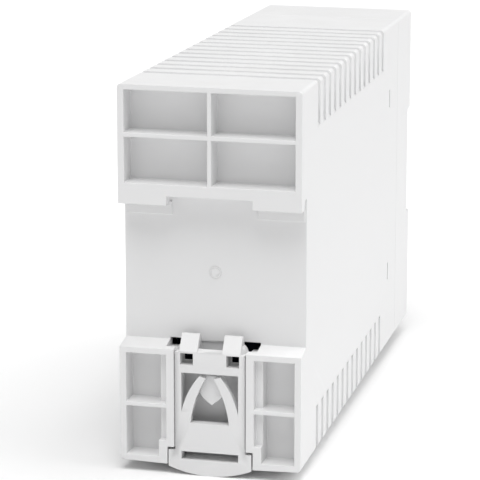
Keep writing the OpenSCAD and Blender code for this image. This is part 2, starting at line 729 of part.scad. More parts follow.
module trimmer_body() seated() color("royalblue") difference() {
    block([board_x, term_back - 2, trim_z - 4.7], [trim_x + 4.7, term_back + 6, trim_z + 4.7]);
    rod(trim_x, trim_z, term_back + 2, term_back + 6 + over, 1.6 + turn_gap);
}
module trimmer_rotor() seated() color("white") difference() {
    union() {
        rod(trim_x, trim_z, term_back + 2 + foot_gap, term_back + 6 + foot_gap + eps, 1.6);
        rod(trim_x, trim_z, term_back + 6 + foot_gap, term_back + 8.4, 3);
    }
    translate([trim_x, term_back + 8.4, trim_z]) cube([4, 1.4, 0.8], center = true);
}

module led_holder() seated() color("dimgray") difference() {
    block([board_x, term_back - 2, led_z - 2.4], [led_x + 2.4, term_back + 2, led_z + 2.4]);
    rod(led_x, led_z, term_back - 1, term_back + 2 + over, 1.5);
}
module status_led() seated() color("lime") {
    rod(led_x, led_z, term_back - 1, term_back + 3.6, 1.5);
    translate([led_x, term_back + 3.6, led_z]) intersection() {
        sphere(1.5);
        rotate([-90, 0, 0]) translate([0, 0, -eps]) cylinder(h = 2, r = 1.6);
    }
}
module light_pipe() seated() color("azure") {
    rod(led_x, led_z, term_back + 5.6, mid_face + 0.3, 1.45);
    rod(led_x, led_z, mid_face - wall - 1.2, mid_face - wall, 2.2);
}

housing();
front_cover();
rail_foot();
output_terminal();
input_terminal();
output_contacts();
input_contacts();
terminal_screw(0, out_screw_z);  // out_screw_1
terminal_screw(1, out_screw_z);  // out_screw_2
terminal_screw(2, out_screw_z);  // out_screw_3
terminal_screw(3, out_screw_z);  // out_screw_4
terminal_screw(0, in_screw_z);  // in_screw_1
terminal_screw(1, in_screw_z);  // in_screw_2
terminal_screw(2, in_screw_z);  // in_screw_3
terminal_jaw(0, out_screw_z, 1);  // out_jaw_1
terminal_jaw(1, out_screw_z, 1);  // out_jaw_2
terminal_jaw(2, out_screw_z, 1);  // out_jaw_3
terminal_jaw(3, out_screw_z, 1);  // out_jaw_4
terminal_jaw(0, in_screw_z, -1);  // in_jaw_1
terminal_jaw(1, in_screw_z, -1);  // in_jaw_2
terminal_jaw(2, in_screw_z, -1);  // in_jaw_3
main_board();
insulating_sheet();
transformer_core();
transformer_bobbin();
transformer_winding();
bulk_capacitor();
output_capacitors();
choke_core();
choke_windings();
inductor_core();
inductor_winding();
mains_capacitor();
snubber_capacitor();
safety_capacitors();
fuse_tube();
fuse_caps();
fuse_clips();
surge_varistor();
inrush_thermistor();
bridge_rectifier();
primary_heatsink();
secondary_heatsink();
switch_transistor();
output_diode();
heatsink_screws();
control_chip();
optocoupler();
chip_resistors();
trimmer_body();
trimmer_rotor();
led_holder();
status_led();
light_pipe();
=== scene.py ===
import json
import math
import bpy
import bmesh
import numpy
from mathutils import Matrix, Vector

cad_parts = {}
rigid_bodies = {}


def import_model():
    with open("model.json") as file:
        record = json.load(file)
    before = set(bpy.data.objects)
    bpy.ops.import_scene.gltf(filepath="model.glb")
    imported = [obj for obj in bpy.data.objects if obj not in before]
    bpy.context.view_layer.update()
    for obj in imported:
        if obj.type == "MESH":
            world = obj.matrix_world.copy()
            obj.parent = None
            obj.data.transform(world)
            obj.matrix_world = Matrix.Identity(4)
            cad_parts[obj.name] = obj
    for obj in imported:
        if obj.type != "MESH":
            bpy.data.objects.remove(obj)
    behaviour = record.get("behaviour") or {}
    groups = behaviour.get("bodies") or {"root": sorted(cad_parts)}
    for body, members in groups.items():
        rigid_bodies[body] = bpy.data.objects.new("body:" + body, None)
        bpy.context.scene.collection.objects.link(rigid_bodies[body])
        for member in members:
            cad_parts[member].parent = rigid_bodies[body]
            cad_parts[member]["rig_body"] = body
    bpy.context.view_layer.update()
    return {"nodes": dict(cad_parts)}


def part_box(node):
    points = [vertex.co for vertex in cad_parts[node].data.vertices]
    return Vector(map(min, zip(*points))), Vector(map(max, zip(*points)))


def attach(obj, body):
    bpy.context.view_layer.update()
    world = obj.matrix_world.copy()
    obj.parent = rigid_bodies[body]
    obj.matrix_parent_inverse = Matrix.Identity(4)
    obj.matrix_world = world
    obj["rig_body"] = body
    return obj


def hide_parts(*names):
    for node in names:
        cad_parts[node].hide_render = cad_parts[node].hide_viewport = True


for leftover in list(bpy.data.objects):
    bpy.data.objects.remove(leftover)

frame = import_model()
cadNodes = frame["nodes"]
scene = bpy.context.scene
print("frame loaded")


# Small helpers

def mm(*values):
    return tuple(value / 1000 for value in values)


def linkMesh(name, mesh):
    piece = bpy.data.objects.new(name, mesh)
    scene.collection.objects.link(piece)
    return piece


def storeMesh(name, mesh):
    data = bpy.data.meshes.new(name)
    mesh.to_mesh(data)
    mesh.free()
    return data


def plainMesh(piece):
    # The piece's mesh with its modifiers applied
    graph = bpy.context.evaluated_depsgraph_get()
    return bpy.data.meshes.new_from_object(piece.evaluated_get(graph))


def bodyOf(nodeName):
    return cadNodes[nodeName]["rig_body"]


def centreOf(nodeName):
    low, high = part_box(nodeName)
    return (low + high) / 2


# Shader groups. Every pattern reads Object coordinates, in metres.

def startGroup(name, inputs, outputs):
    group = bpy.data.node_groups.new(name, "ShaderNodeTree")
    for label, kind, value in inputs:
        socket = group.interface.new_socket(label, in_out="INPUT", socket_type=kind)
        socket.default_value = value
    for label, kind in outputs:
        group.interface.new_socket(label, in_out="OUTPUT", socket_type=kind)
    enter = group.nodes.new("NodeGroupInput")
    leave = group.nodes.new("NodeGroupOutput")
    return group, enter, leave


def addMath(tree, operation, first, second=0.0, clamp=False):
    node = tree.nodes.new("ShaderNodeMath")
    node.operation = operation
    node.use_clamp = clamp
    for socket, value in zip(node.inputs, (first, second)):
        if isinstance(value, (int, float)):
            socket.default_value = value
        else:
            tree.links.new(value, socket)
    return node.outputs[0]


def addRange(tree, value, fromMin, fromMax, toMin, toMax):
    node = tree.nodes.new("ShaderNodeMapRange")
    for socket, number in zip(node.inputs[1:5], (fromMin, fromMax, toMin, toMax)):
        if isinstance(number, (int, float)):
            socket.default_value = number
        else:
            tree.links.new(number, socket)
    tree.links.new(value, node.inputs[0])
    return node.outputs[0]


def addNoise(tree, coordinates, scale, detail=2.0, rough=0.5, stretch=None):
    if stretch:
        mapping = tree.nodes.new("ShaderNodeMapping")
        mapping.inputs["Scale"].default_value = stretch
        tree.links.new(coordinates, mapping.inputs["Vector"])
        coordinates = mapping.outputs[0]
    node = tree.nodes.new("ShaderNodeTexNoise")
    if isinstance(scale, (int, float)):
        node.inputs["Scale"].default_value = scale
    else:
        tree.links.new(scale, node.inputs["Scale"])
    node.inputs["Detail"].default_value = detail
    node.inputs["Roughness"].default_value = rough
    tree.links.new(coordinates, node.inputs["Vector"])
    return node.outputs["Fac"]


def objectCoordinates(tree):
    return tree.nodes.new("ShaderNodeTexCoord").outputs["Object"]


floatKind = "NodeSocketFloat"


def buildMouldGrain():
    # Spark-eroded mould texture: fine grains on a slow waviness
    group, enter, leave = startGroup("mouldGrain",
        [("Grain Scale", floatKind, 9000.0), ("Waviness", floatKind, 0.3)],
        [("Height", floatKind), ("Spread", floatKind)])
    place = objectCoordinates(group)
    fine = addNoise(group, place, enter.outputs["Grain Scale"], 2.0, 0.6)
    slow = addNoise(group, place, 60.0, 1.0, 0.4)
    cells = group.nodes.new("ShaderNodeTexVoronoi")
    group.links.new(place, cells.inputs["Vector"])
    cellScale = addMath(group, "MULTIPLY", enter.outputs["Grain Scale"], 0.45)
    group.links.new(cellScale, cells.inputs["Scale"])
    pits = addMath(group, "MULTIPLY", cells.outputs["Distance"], 0.5)
    wavy = addMath(group, "MULTIPLY", slow, enter.outputs["Waviness"])
    height = addMath(group, "ADD", addMath(group, "ADD", fine, pits), wavy)
    group.links.new(height, leave.inputs["Height"])
    group.links.new(addNoise(group, place, 140.0, 3.0, 0.55), leave.inputs["Spread"])
    return group


def buildEdgeWear():
    # Mask that is high where an edge is rubbed, broken up by noise
    group, enter, leave = startGroup("edgeWear",
        [("Reach", floatKind, 0.0003), ("Patchiness", floatKind, 0.5)], [("Mask", floatKind)])
    rounded = group.nodes.new("ShaderNodeBevel")
    rounded.samples = 4
    group.links.new(enter.outputs["Reach"], rounded.inputs["Radius"])
    flat = group.nodes.new("ShaderNodeNewGeometry")
    dot = group.nodes.new("ShaderNodeVectorMath")
    dot.operation = "DOT_PRODUCT"
    group.links.new(rounded.outputs["Normal"], dot.inputs[0])
    group.links.new(flat.outputs["Normal"], dot.inputs[1])
    bend = addRange(group, dot.outputs["Value"], 0.985, 0.8, 0.0, 1.0)
    patches = addNoise(group, objectCoordinates(group), 900.0, 4.0, 0.65)
    broken = addRange(group, patches, enter.outputs["Patchiness"], 0.75, 0.0, 1.0)
    group.links.new(addMath(group, "MULTIPLY", bend, broken, True), leave.inputs["Mask"])
    return group


def buildSettledDust():
    # Mask of fine dust on faces that look up, with a few specks
    group, enter, leave = startGroup("settledDust",
        [("Amount", floatKind, 0.3), ("Speck Scale", floatKind, 2600.0)], [("Mask", floatKind)])
    geometry = group.nodes.new("ShaderNodeNewGeometry")
    split = group.nodes.new("ShaderNodeSeparateXYZ")
    group.links.new(geometry.outputs["Normal"], split.inputs[0])
    upward = addRange(group, split.outputs["Z"], 0.2, 1.0, 0.0, 1.0)
    place = objectCoordinates(group)
    clouds = addRange(group, addNoise(group, place, 90.0, 4.0, 0.6), 0.42, 0.72, 0.0, 1.0)
    speckle = addNoise(group, place, enter.outputs["Speck Scale"], 1.0)
    specks = addRange(group, speckle, 0.68, 0.76, 0.0, 1.0)
    film = addMath(group, "ADD", clouds, addMath(group, "MULTIPLY", specks, 0.5))
    settled = addMath(group, "MULTIPLY", film, upward)
    mask = addMath(group, "MULTIPLY", settled, enter.outputs["Amount"], True)
    group.links.new(mask, leave.inputs["Mask"])
    return group


def buildDrawnLines():
    # Fine parallel lines of drawn or rolled metal along one axis
    group, enter, leave = startGroup("drawnLines",
        [("Line Scale", floatKind, 5000.0), ("Across", "NodeSocketVector", (0.02, 1.0, 1.0))],
        [("Height", floatKind), ("Spread", floatKind)])
    product = group.nodes.new("ShaderNodeVectorMath")
    product.operation = "MULTIPLY"
    group.links.new(objectCoordinates(group), product.inputs[0])
    group.links.new(enter.outputs["Across"], product.inputs[1])
    lines = addNoise(group, product.outputs[0], enter.outputs["Line Scale"], 3.0, 0.6)
    group.links.new(lines, leave.inputs["Height"])
    stains = addNoise(group, objectCoordinates(group), 300.0, 4.0, 0.6)
    group.links.new(addMath(group, "MULTIPLY", lines, stains), leave.inputs["Spread"])
    return group


mouldGrain = buildMouldGrain()
edgeWear = buildEdgeWear()
settledDust = buildSettledDust()
drawnLines = buildDrawnLines()
print("shader groups built")


# Materials

def placeGroup(tree, group, values):
    node = tree.nodes.new("ShaderNodeGroup")
    node.node_tree = group
    for label, value in values.items():
        node.inputs[label].default_value = value
    return node


def addMix(tree, mask, first, second):
    node = tree.nodes.new("ShaderNodeMix")
    node.data_type = "RGBA"
    for socket, value in ((node.inputs[0], mask), (node.inputs[6], first), (node.inputs[7], second)):
        if isinstance(value, (tuple, list)):
            socket.default_value = (*value[:3], 1.0)
        elif isinstance(value, (int, float)):
            socket.default_value = value
        else:
            tree.links.new(value, socket)
    return node.outputs[2]


def joinSurface(tree, shader, tone, rough):
    tree.links.new(tone, shader.inputs["Base Color"])
    tree.links.new(rough, shader.inputs["Roughness"])


def addBump(tree, shader, height, strength, distance):
    bump = tree.nodes.new("ShaderNodeBump")
    bump.inputs["Strength"].default_value = strength
    bump.inputs["Distance"].default_value = distance
    tree.links.new(height, bump.inputs["Height"])
    tree.links.new(bump.outputs[0], shader.inputs["Normal"])


def startMaterial(name):
    material = bpy.data.materials.new(name)
    material.use_nodes = True
    tree = material.node_tree
    return material, tree, tree.nodes["Principled BSDF"]


def scaled(colour, factor):
    return tuple(min(1.0, channel * factor) for channel in colour)


dustGrey = (0.55, 0.53, 0.5)


def mouldedPlastic(name, colour, rough, grain=9000.0, depth=0.12, wear=0.3, dust=0.25, coat=0.0):
    material, tree, shader = startMaterial(name)
    surface = placeGroup(tree, mouldGrain, {"Grain Scale": grain})
    rubbed = placeGroup(tree, edgeWear, {"Patchiness": 0.35})
    dusty = placeGroup(tree, settledDust, {"Amount": dust})
    tone = addMix(tree, surface.outputs["Spread"], scaled(colour, 0.985), scaled(colour, 1.012))
    wearMask = addMath(tree, "MULTIPLY", rubbed.outputs["Mask"], wear)
    worn = addMix(tree, wearMask, tone, scaled(colour, 1.08))
    dustTone = tuple((channel + grey) / 2 for channel, grey in zip(colour, dustGrey))
    soiled = addMix(tree, dusty.outputs["Mask"], worn, dustTone)
    level = addRange(tree, surface.outputs["Spread"], 0.3, 0.7, rough - 0.03, rough + 0.04)
    polish = addMath(tree, "MULTIPLY", rubbed.outputs["Mask"], 0.12)
    dulling = addMath(tree, "MULTIPLY", dusty.outputs["Mask"], 0.3)
    dulled = addMath(tree, "ADD", addMath(tree, "SUBTRACT", level, polish), dulling, True)
    joinSurface(tree, shader, soiled, dulled)
    shader.inputs["Coat Weight"].default_value = coat
    addBump(tree, shader, surface.outputs["Height"], depth, 0.00003)
    return material


def workedMetal(name, colour, rough, lines=5000.0, across=(0.02, 1.0, 1.0), depth=0.15, stain=0.8):
    material, tree, shader = startMaterial(name)
    surface = placeGroup(tree, drawnLines, {"Line Scale": lines, "Across": across})
    rubbed = placeGroup(tree, edgeWear, {"Patchiness": 0.2})
    tone = addMix(tree, surface.outputs["Spread"], scaled(colour, stain), scaled(colour, 1.05))
    worn = addMix(tree, rubbed.outputs["Mask"], tone, scaled(colour, 1.15))
    level = addRange(tree, surface.outputs["Height"], 0.3, 0.7, rough - 0.07, rough + 0.1)
    joinSurface(tree, shader, worn, level)
    shader.inputs["Metallic"].default_value = 1.0
    addBump(tree, shader, surface.outputs["Height"], depth, 0.00002)
    return material


def sinteredFerrite(name, colour, rough):
    material, tree, shader = startMaterial(name)
    surface = placeGroup(tree, mouldGrain, {"Grain Scale": 4200.0, "Waviness": 0.1})
    rubbed = placeGroup(tree, edgeWear, {"Patchiness": 0.3})
    tone = addMix(tree, surface.outputs["Spread"], scaled(colour, 0.7), scaled(colour, 1.25))
    worn = addMix(tree, rubbed.outputs["Mask"], tone, scaled(colour, 2.2))
    level = addRange(tree, surface.outputs["Height"], 0.4, 1.1, rough, rough + 0.2)
    joinSurface(tree, shader, worn, level)
    addBump(tree, shader, surface.outputs["Height"], 0.4, 0.00006)
    return material


def dippedCoating(name, colour, rough=0.22):
    # Lacquer that pulled slightly uneven as it ran off
    material, tree, shader = startMaterial(name)
    place = objectCoordinates(tree)
    runs = addNoise(tree, place, 420.0, 2.0, 0.5)
    speckle = addNoise(tree, place, 3800.0, 2.0, 0.6)
    tone = addMix(tree, runs, scaled(colour, 0.82), scaled(colour, 1.15))
    spots = addRange(tree, speckle, 0.62, 0.75, 0.0, 0.35)
    spotted = addMix(tree, spots, tone, scaled(colour, 0.6))
    joinSurface(tree, shader, spotted, addRange(tree, runs, 0.3, 0.7, rough, rough + 0.1))
    shader.inputs["Coat Weight"].default_value = 0.4
    height = addMath(tree, "ADD", runs, addMath(tree, "MULTIPLY", speckle, 0.15))
    addBump(tree, shader, height, 0.3, 0.0002)
    return material


def enamelledWire(name, colour):
    material, tree, shader = startMaterial(name)
    place = objectCoordinates(tree)
    tint = addNoise(tree, place, 700.0, 3.0, 0.6)
    fine = addNoise(tree, place, 6000.0, 2.0, 0.5)
    tone = addMix(tree, tint, scaled(colour, 0.7), scaled(colour, 1.2))
    joinSurface(tree, shader, tone, addRange(tree, fine, 0.3, 0.7, 0.2, 0.34))
    shader.inputs["Metallic"].default_value = 0.85
    shader.inputs["Coat Weight"].default_value = 0.6
    shader.inputs["Coat Roughness"].default_value = 0.12
    addBump(tree, shader, fine, 0.1, 0.00002)
    return material


def printedBoard(name, mask, copper):
    # Solder mask over right-angled tracks that stand slightly proud
    material, tree, shader = startMaterial(name)
    place = objectCoordinates(tree)
    split = tree.nodes.new("ShaderNodeSeparateXYZ")
    tree.links.new(place, split.inputs[0])
    tracks = []
    for alongY, alongZ, threshold in ((0.009, 0.0007, 0.6), (0.0007, 0.008, 0.62)):
        joined = tree.nodes.new("ShaderNodeCombineXYZ")
        tree.links.new(addMath(tree, "SNAP", split.outputs["Y"], alongY), joined.inputs["Y"])
        tree.links.new(addMath(tree, "SNAP", split.outputs["Z"], alongZ), joined.inputs["Z"])
        cell = addNoise(tree, joined.outputs[0], 420.0, 0.0)
        tracks.append(addRange(tree, cell, threshold, threshold + 0.01, 0.0, 1.0))
    track = addMath(tree, "MAXIMUM", tracks[0], tracks[1])
    weave = addNoise(tree, place, 2500.0, 1.0, 0.5)
    bare = addMix(tree, weave, scaled(mask, 0.85), scaled(mask, 1.15))
    over = addMix(tree, 0.06, scaled(mask, 1.45), copper)
    tone = addMix(tree, track, bare, over)
    joinSurface(tree, shader, tone, addRange(tree, weave, 0.3, 0.7, 0.26, 0.36))
    addBump(tree, shader, track, 0.5, 0.00004)
    return material


def wrappedTape(name, colour):
    # Polyester tape in lapped layers
    material, tree, shader = startMaterial(name)
    place = objectCoordinates(tree)
    bands = tree.nodes.new("ShaderNodeTexWave")
    bands.bands_direction = "Y"
    bands.inputs["Scale"].default_value = 95.0
    bands.inputs["Distortion"].default_value = 0.6
    tree.links.new(place, bands.inputs["Vector"])
    creases = addNoise(tree, place, 900.0, 3.0, 0.6)
    layers = addMath(tree, "MULTIPLY", bands.outputs["Fac"], creases)
    tone = addMix(tree, layers, scaled(colour, 0.8), scaled(colour, 1.1))
    joinSurface(tree, shader, tone, addRange(tree, creases, 0.3, 0.7, 0.18, 0.34))
    addBump(tree, shader, addMath(tree, "ADD", bands.outputs["Fac"], creases), 0.25, 0.00008)
    return material


def shrinkSleeve(name, colour):
    # Printed film drawn tight over a can
    material, tree, shader = startMaterial(name)
    place = objectCoordinates(tree)
    creases = addNoise(tree, place, 260.0, 3.0, 0.5, (0.25, 1.0, 1.0))
    film = addMix(tree, creases, scaled(colour, 0.75), scaled(colour, 1.3))
    joinSurface(tree, shader, film, addRange(tree, creases, 0.3, 0.7, 0.22, 0.36))
    addBump(tree, shader, creases, 0.15, 0.0003)
    return material


def clearMoulding(name, colour, rough, passing):
    material, tree, shader = startMaterial(name)
    cloud = addNoise(tree, objectCoordinates(tree), 800.0, 3.0, 0.5)
    tone = addMix(tree, cloud, scaled(colour, 0.95), scaled(colour, 1.05))
    joinSurface(tree, shader, tone, addRange(tree, cloud, 0.3, 0.7, rough, rough + 0.08))
    shader.inputs["Transmission Weight"].default_value = passing
    shader.inputs["IOR"].default_value = 1.49
    addBump(tree, shader, cloud, 0.08, 0.0001)
    return material


finish = {
    "housingWhite": mouldedPlastic("housingWhite", (0.76, 0.76, 0.763), 0.46, 8200.0, 0.16),
    "coverWhite": mouldedPlastic("coverWhite", (0.76, 0.76, 0.763), 0.44, 8200.0, 0.14),
    "footWhite": mouldedPlastic("footWhite", (0.74, 0.74, 0.743), 0.36, 11000.0, 0.07, wear=0.5),
    "terminalGrey": mouldedPlastic("terminalGrey", (0.36, 0.4, 0.38), 0.4, 7000.0, 0.15),
    "moulderBlack": mouldedPlastic("moulderBlack", (0.03, 0.03, 0.032), 0.36, 6000.0, 0.2, dust=0.1),
    "epoxyBlack": mouldedPlastic("epoxyBlack", (0.025, 0.025, 0.027), 0.5, 5200.0, 0.35, dust=0.1),
    "epoxyWhite": mouldedPlastic("epoxyWhite", (0.76, 0.75, 0.7), 0.45, 5200.0, 0.3),
    "trimmerBlue": mouldedPlastic("trimmerBlue", (0.05, 0.17, 0.5), 0.3, 6500.0, 0.12),
    "rotorWhite": mouldedPlastic("rotorWhite", (0.84, 0.84, 0.81), 0.3, 9000.0, 0.08, wear=0.4),
    "filmBoxYellow": mouldedPlastic("filmBoxYellow", (0.78, 0.58, 0.16), 0.28, 5000.0, 0.15),
    "fuseCeramic": mouldedPlastic("fuseCeramic", (0.82, 0.8, 0.75), 0.18, 4000.0, 0.08, coat=0.5),
    "insulatingFilm": mouldedPlastic("insulatingFilm", (0.8, 0.77, 0.66), 0.24, 3000.0, 0.1),
    "plateFilm": mouldedPlastic("plateFilm", (0.62, 0.64, 0.66), 0.24, 4000.0, 0.05, wear=0.1),
    "sleeveStripe": mouldedPlastic("sleeveStripe", (0.62, 0.66, 0.7), 0.3, 3000.0, 0.1, dust=0.1),
    "screwSteel": workedMetal("screwSteel", (0.66, 0.67, 0.69), 0.3, 7000.0, (1.0, 0.05, 1.0)),
    "contactBrass": workedMetal("contactBrass", (0.78, 0.62, 0.34), 0.3, 6000.0, (1.0, 0.03, 1.0)),
    "jawPlated": workedMetal("jawPlated", (0.72, 0.7, 0.66), 0.26, 6000.0, (0.03, 1.0, 1.0)),
    "capNickel": workedMetal("capNickel", (0.74, 0.73, 0.71), 0.18, 4500.0, (1.0, 0.05, 1.0)),
    "sinkAluminium": workedMetal("sinkAluminium", (0.78, 0.79, 0.8), 0.34, 4200.0, (1.0, 0.02, 1.0), 0.25),
    "canAluminium": workedMetal("canAluminium", (0.8, 0.8, 0.81), 0.3, 5200.0, (1.0, 1.0, 0.05), 0.2),
    "solderTin": workedMetal("solderTin", (0.7, 0.7, 0.71), 0.22, 2600.0, (1.0, 1.0, 1.0), 0.3),
    "ferriteGrey": sinteredFerrite("ferriteGrey", (0.055, 0.055, 0.06), 0.5),
    "chokeGreen": dippedCoating("chokeGreen", (0.05, 0.12, 0.1), 0.35),
    "coreYellow": dippedCoating("coreYellow", (0.72, 0.6, 0.12), 0.38),
    "lacquerBlue": dippedCoating("lacquerBlue", (0.04, 0.14, 0.42)),
    "lacquerGreen": dippedCoating("lacquerGreen", (0.05, 0.09, 0.04)),
    "lacquerRed": dippedCoating("lacquerRed", (0.42, 0.05, 0.03)),
    "sleeveBlack": shrinkSleeve("sleeveBlack", (0.02, 0.028, 0.05)),
    "copperEnamel": enamelledWire("copperEnamel", (0.62, 0.2, 0.06)),
    "boardGreen": printedBoard("boardGreen", (0.015, 0.1, 0.045), (0.62, 0.36, 0.16)),
    "tapeYellow": wrappedTape("tapeYellow", (0.78, 0.52, 0.05)),
    "lampGreen": clearMoulding("lampGreen", (0.25, 0.85, 0.35), 0.08, 0.7),
    "lightGuide": clearMoulding("lightGuide", (0.92, 0.95, 0.95), 0.05, 0.9),
}
print("materials built:", len(finish))


def claimNode(piece, nodeName):
    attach(piece, bodyOf(nodeName))
    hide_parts(nodeName)
    return piece


# Softened pieces: the frame's own shape with its edges broken

# Angles are in degrees; foldedBelow is the cosine between two faces that fold on each other,
# and foldReach is how far from a fold, in widths, an edge is left sharp
breakValues = {"sharpFrom": 32, "mergeDistance": 0.000002, "flatWithin": 0.6, "rounds": 7, "segments": 2,
    "foldedBelow": -0.9, "foldReach": 1.5, "curvedFrom": 1, "curvedTo": 25}


def foldedCorners(mesh):
    corners = []
    for line in mesh.edges:
        if len(line.link_faces) != 2:
            continue
        first, second = line.link_faces
        if first.normal.dot(second.normal) < breakValues["foldedBelow"]:
            smaller = min(first, second, key=lambda face: face.calc_area())
            corners.extend(corner.co[:] for corner in smaller.verts)
    return corners


def breakEdges(mesh, width, segments):
    # Bevel every sharp edge, but leave out those whose bevel would fold over
    mesh.faces.layers.int.new("broken")
    mesh.edges.index_update()
    limit = math.radians(breakValues["sharpFrom"])
    chosen = [line.index for line in mesh.edges
        if line.is_manifold and line.calc_face_angle(0) > limit]
    for attempt in range(breakValues["rounds"]):
        trial = mesh.copy()
        trial.edges.ensure_lookup_table()
        made = bmesh.ops.bevel(trial, geom=[trial.edges[index] for index in chosen], offset=width,
            offset_type="OFFSET", segments=segments, profile=0.5, affect="EDGES",
            clamp_overlap=False, miter_outer="SHARP", miter_inner="SHARP")
        broken = trial.faces.layers.int["broken"]
        for face in made["faces"]:
            face[broken] = 1
        bmesh.ops.triangulate(trial, faces=trial.faces)
        trial.normal_update()
        corners = foldedCorners(trial)
        if not corners or not chosen:
            return trial
        trial.free()
        mesh.edges.ensure_lookup_table()
        ends = numpy.array([[corner.co[:] for corner in mesh.edges[index].verts] for index in chosen])
        along = ends[:, 1] - ends[:, 0]
        length = (along ** 2).sum(axis=1)
        blocked = numpy.zeros(len(chosen), dtype=bool)
        for corner in numpy.array(corners):
            share = numpy.clip(((corner - ends[:, 0]) * along).sum(axis=1) / length, 0, 1)
            gap = numpy.linalg.norm(ends[:, 0] + along * share[:, None] - corner, axis=1)
            blocked |= gap < width * breakValues["foldReach"]
        chosen = [index for index, stop in zip(chosen, blocked) if not stop]
    plain = mesh.copy()
    bmesh.ops.triangulate(plain, faces=plain.faces)
    return plain


def shadeFlats(mesh):
    # A flat face stays flat; a face of a curved surface or of a broken edge is smooth
    broken = mesh.faces.layers.int["broken"]
    low, high = math.radians(breakValues["curvedFrom"]), math.radians(breakValues["curvedTo"])
    mesh.normal_update()
    for face in mesh.faces:
        curved = face[broken] == 1
        for line in face.edges:
            joined = any(other is not face and other[broken] == 0 for other in line.link_faces)
            if joined and low < line.calc_face_angle(0) < high:
                curved = True
        face.smooth = curved


def softenedCopy(name, nodeName, materialName, edge=0.12, shadeAngle=50):
    mesh = bmesh.new()
    mesh.from_mesh(cadNodes[nodeName].data)
    bmesh.ops.remove_doubles(mesh, verts=mesh.verts, dist=breakValues["mergeDistance"])
    flat = math.radians(breakValues["flatWithin"])
    bmesh.ops.dissolve_limit(mesh, angle_limit=flat, verts=mesh.verts, edges=mesh.edges)
    bmesh.ops.connect_verts_concave(mesh, faces=mesh.faces)
    result = breakEdges(mesh, edge / 1000, breakValues["segments"])
    mesh.free()
    bmesh.ops.remove_doubles(result, verts=result.verts, dist=breakValues["mergeDistance"])
    shadeFlats(result)
    data = storeMesh(name, result)
    data.set_sharp_from_angle(angle=math.radians(shadeAngle))
    return claimNode(evenNormals(name, data, materialName), nodeName)


def evenNormals(name, data, materialName):
    # Large flats keep their own normal, and the broken edges turn between them
    data.materials.clear()
    data.materials.append(finish[materialName])
    piece = linkMesh(name, data)
    even = piece.modifiers.new("evenNormals", "WEIGHTED_NORMAL")
    even.keep_sharp = True
    even.weight = 100
    result = plainMesh(piece)
    bpy.data.objects.remove(piece)
    result.name = name
    return linkMesh(name, result)


def paintFaces(piece, materialName, test):
    # Give the faces that pass the test a second finish
    data = piece.data
    data.materials.append(finish[materialName])
    index = len(data.materials) - 1
    for face in data.polygons:
        if test(face.center, face.normal):
            face.material_index = index


# CAD node, finish, width of the broken edges in mm and angle above which an edge shades sharp
shellPieces = {
    "housingShell": ("housing", "housingWhite", 0.16, 50),
    "coverShell": ("front_cover", "coverWhite", 0.16, 50),
    "footPiece": ("rail_foot", "footWhite", 0.14, 30),
}
for name, (nodeName, materialName, edge, shadeAngle) in shellPieces.items():
    softenedCopy(name, nodeName, materialName, edge, shadeAngle)
print("shells softened")

# CAD node, finish and width of the broken edges in mm
terminalPieces = {
    "outputTerminal": ("output_terminal", "terminalGrey", 0.12),
    "inputTerminal": ("input_terminal", "terminalGrey", 0.12),
    "outputContacts": ("output_contacts", "contactBrass", 0.06),
    "inputContacts": ("input_contacts", "contactBrass", 0.06),
}
for name, (nodeName, materialName, edge) in terminalPieces.items():
    softenedCopy(name, nodeName, materialName, edge)

jawValues = {"edge": 0.12, "finish": "jawPlated"}
poles = [node for node in cadNodes if "_jaw_" in node]
for nodeName in poles:
    side, word, number = nodeName.split("_")
    softenedCopy(side + "Jaw" + number, nodeName, jawValues["finish"], jawValues["edge"])
print("terminals softened, jaws:", len(poles))


# Clamp screws: turned head with a crossed recess, rolled thread on the shank

# Depths run from the head's face, and lengths and radii are in mm
screwValues = {"sides": 40, "headDepth": 2.2, "threadPitch": 0.5, "threadDepth": 0.22, "rowsPerPitch": 6,
    "slotLength": 3.0, "slotWidth": 0.62, "slotDepth": 1.0, "shankRadius": 1.3, "shadeAngle": 32,
    "crown": ((0.0, 0.75), (0.07, 0.35), (0.22, 0.1), (0.42, 0.0)),
    "rimHeight": 0.15, "rimInset": 0.12, "neckInset": 0.05, "neckLength": 0.25,
    "threadStart": 0.3, "threadStop": 0.35, "crestShare": 0.4, "tipLength": 0.3, "tipInset": 0.3}


def latheRows(mesh, rows, sides):
    # Rows of (depth, radius function of the angle), closed at both ends
    rings = []
    for depth, radiusAt in rows:
        ring = []
        for step in range(sides):
            angle = 2 * math.pi * step / sides
            radius = radiusAt(angle)
            ring.append(mesh.verts.new((radius * math.cos(angle), depth, radius * math.sin(angle))))
        rings.append(ring)
    for near, far in zip(rings, rings[1:]):
        for step in range(sides):
            after = (step + 1) % sides
            mesh.faces.new((near[step], near[after], far[after], far[step]))
    mesh.faces.new(list(reversed(rings[0])))
    mesh.faces.new(rings[-1])


def crossCutter(name, length, width, depth):
    far, near = length / 2, width / 2
    outline = [(near, far), (-near, far), (-near, near), (-far, near), (-far, -near), (-near, -near),
        (-near, -far), (near, -far), (near, -near), (far, -near), (far, near), (near, near)]
    mesh = bmesh.new()
    top = [mesh.verts.new((x / 1000, -0.001, z / 1000)) for x, z in outline]
    low = [mesh.verts.new((x / 1000, depth / 1000, z / 1000)) for x, z in outline]
    mesh.faces.new(top)
    mesh.faces.new(list(reversed(low)))
    for step in range(len(outline)):
        after = (step + 1) % len(outline)
        mesh.faces.new((top[after], top[step], low[step], low[after]))
    bmesh.ops.recalc_face_normals(mesh, faces=mesh.faces)
    return linkMesh(name, storeMesh(name, mesh))


def evenRadius(radius):
    return lambda angle: radius / 1000


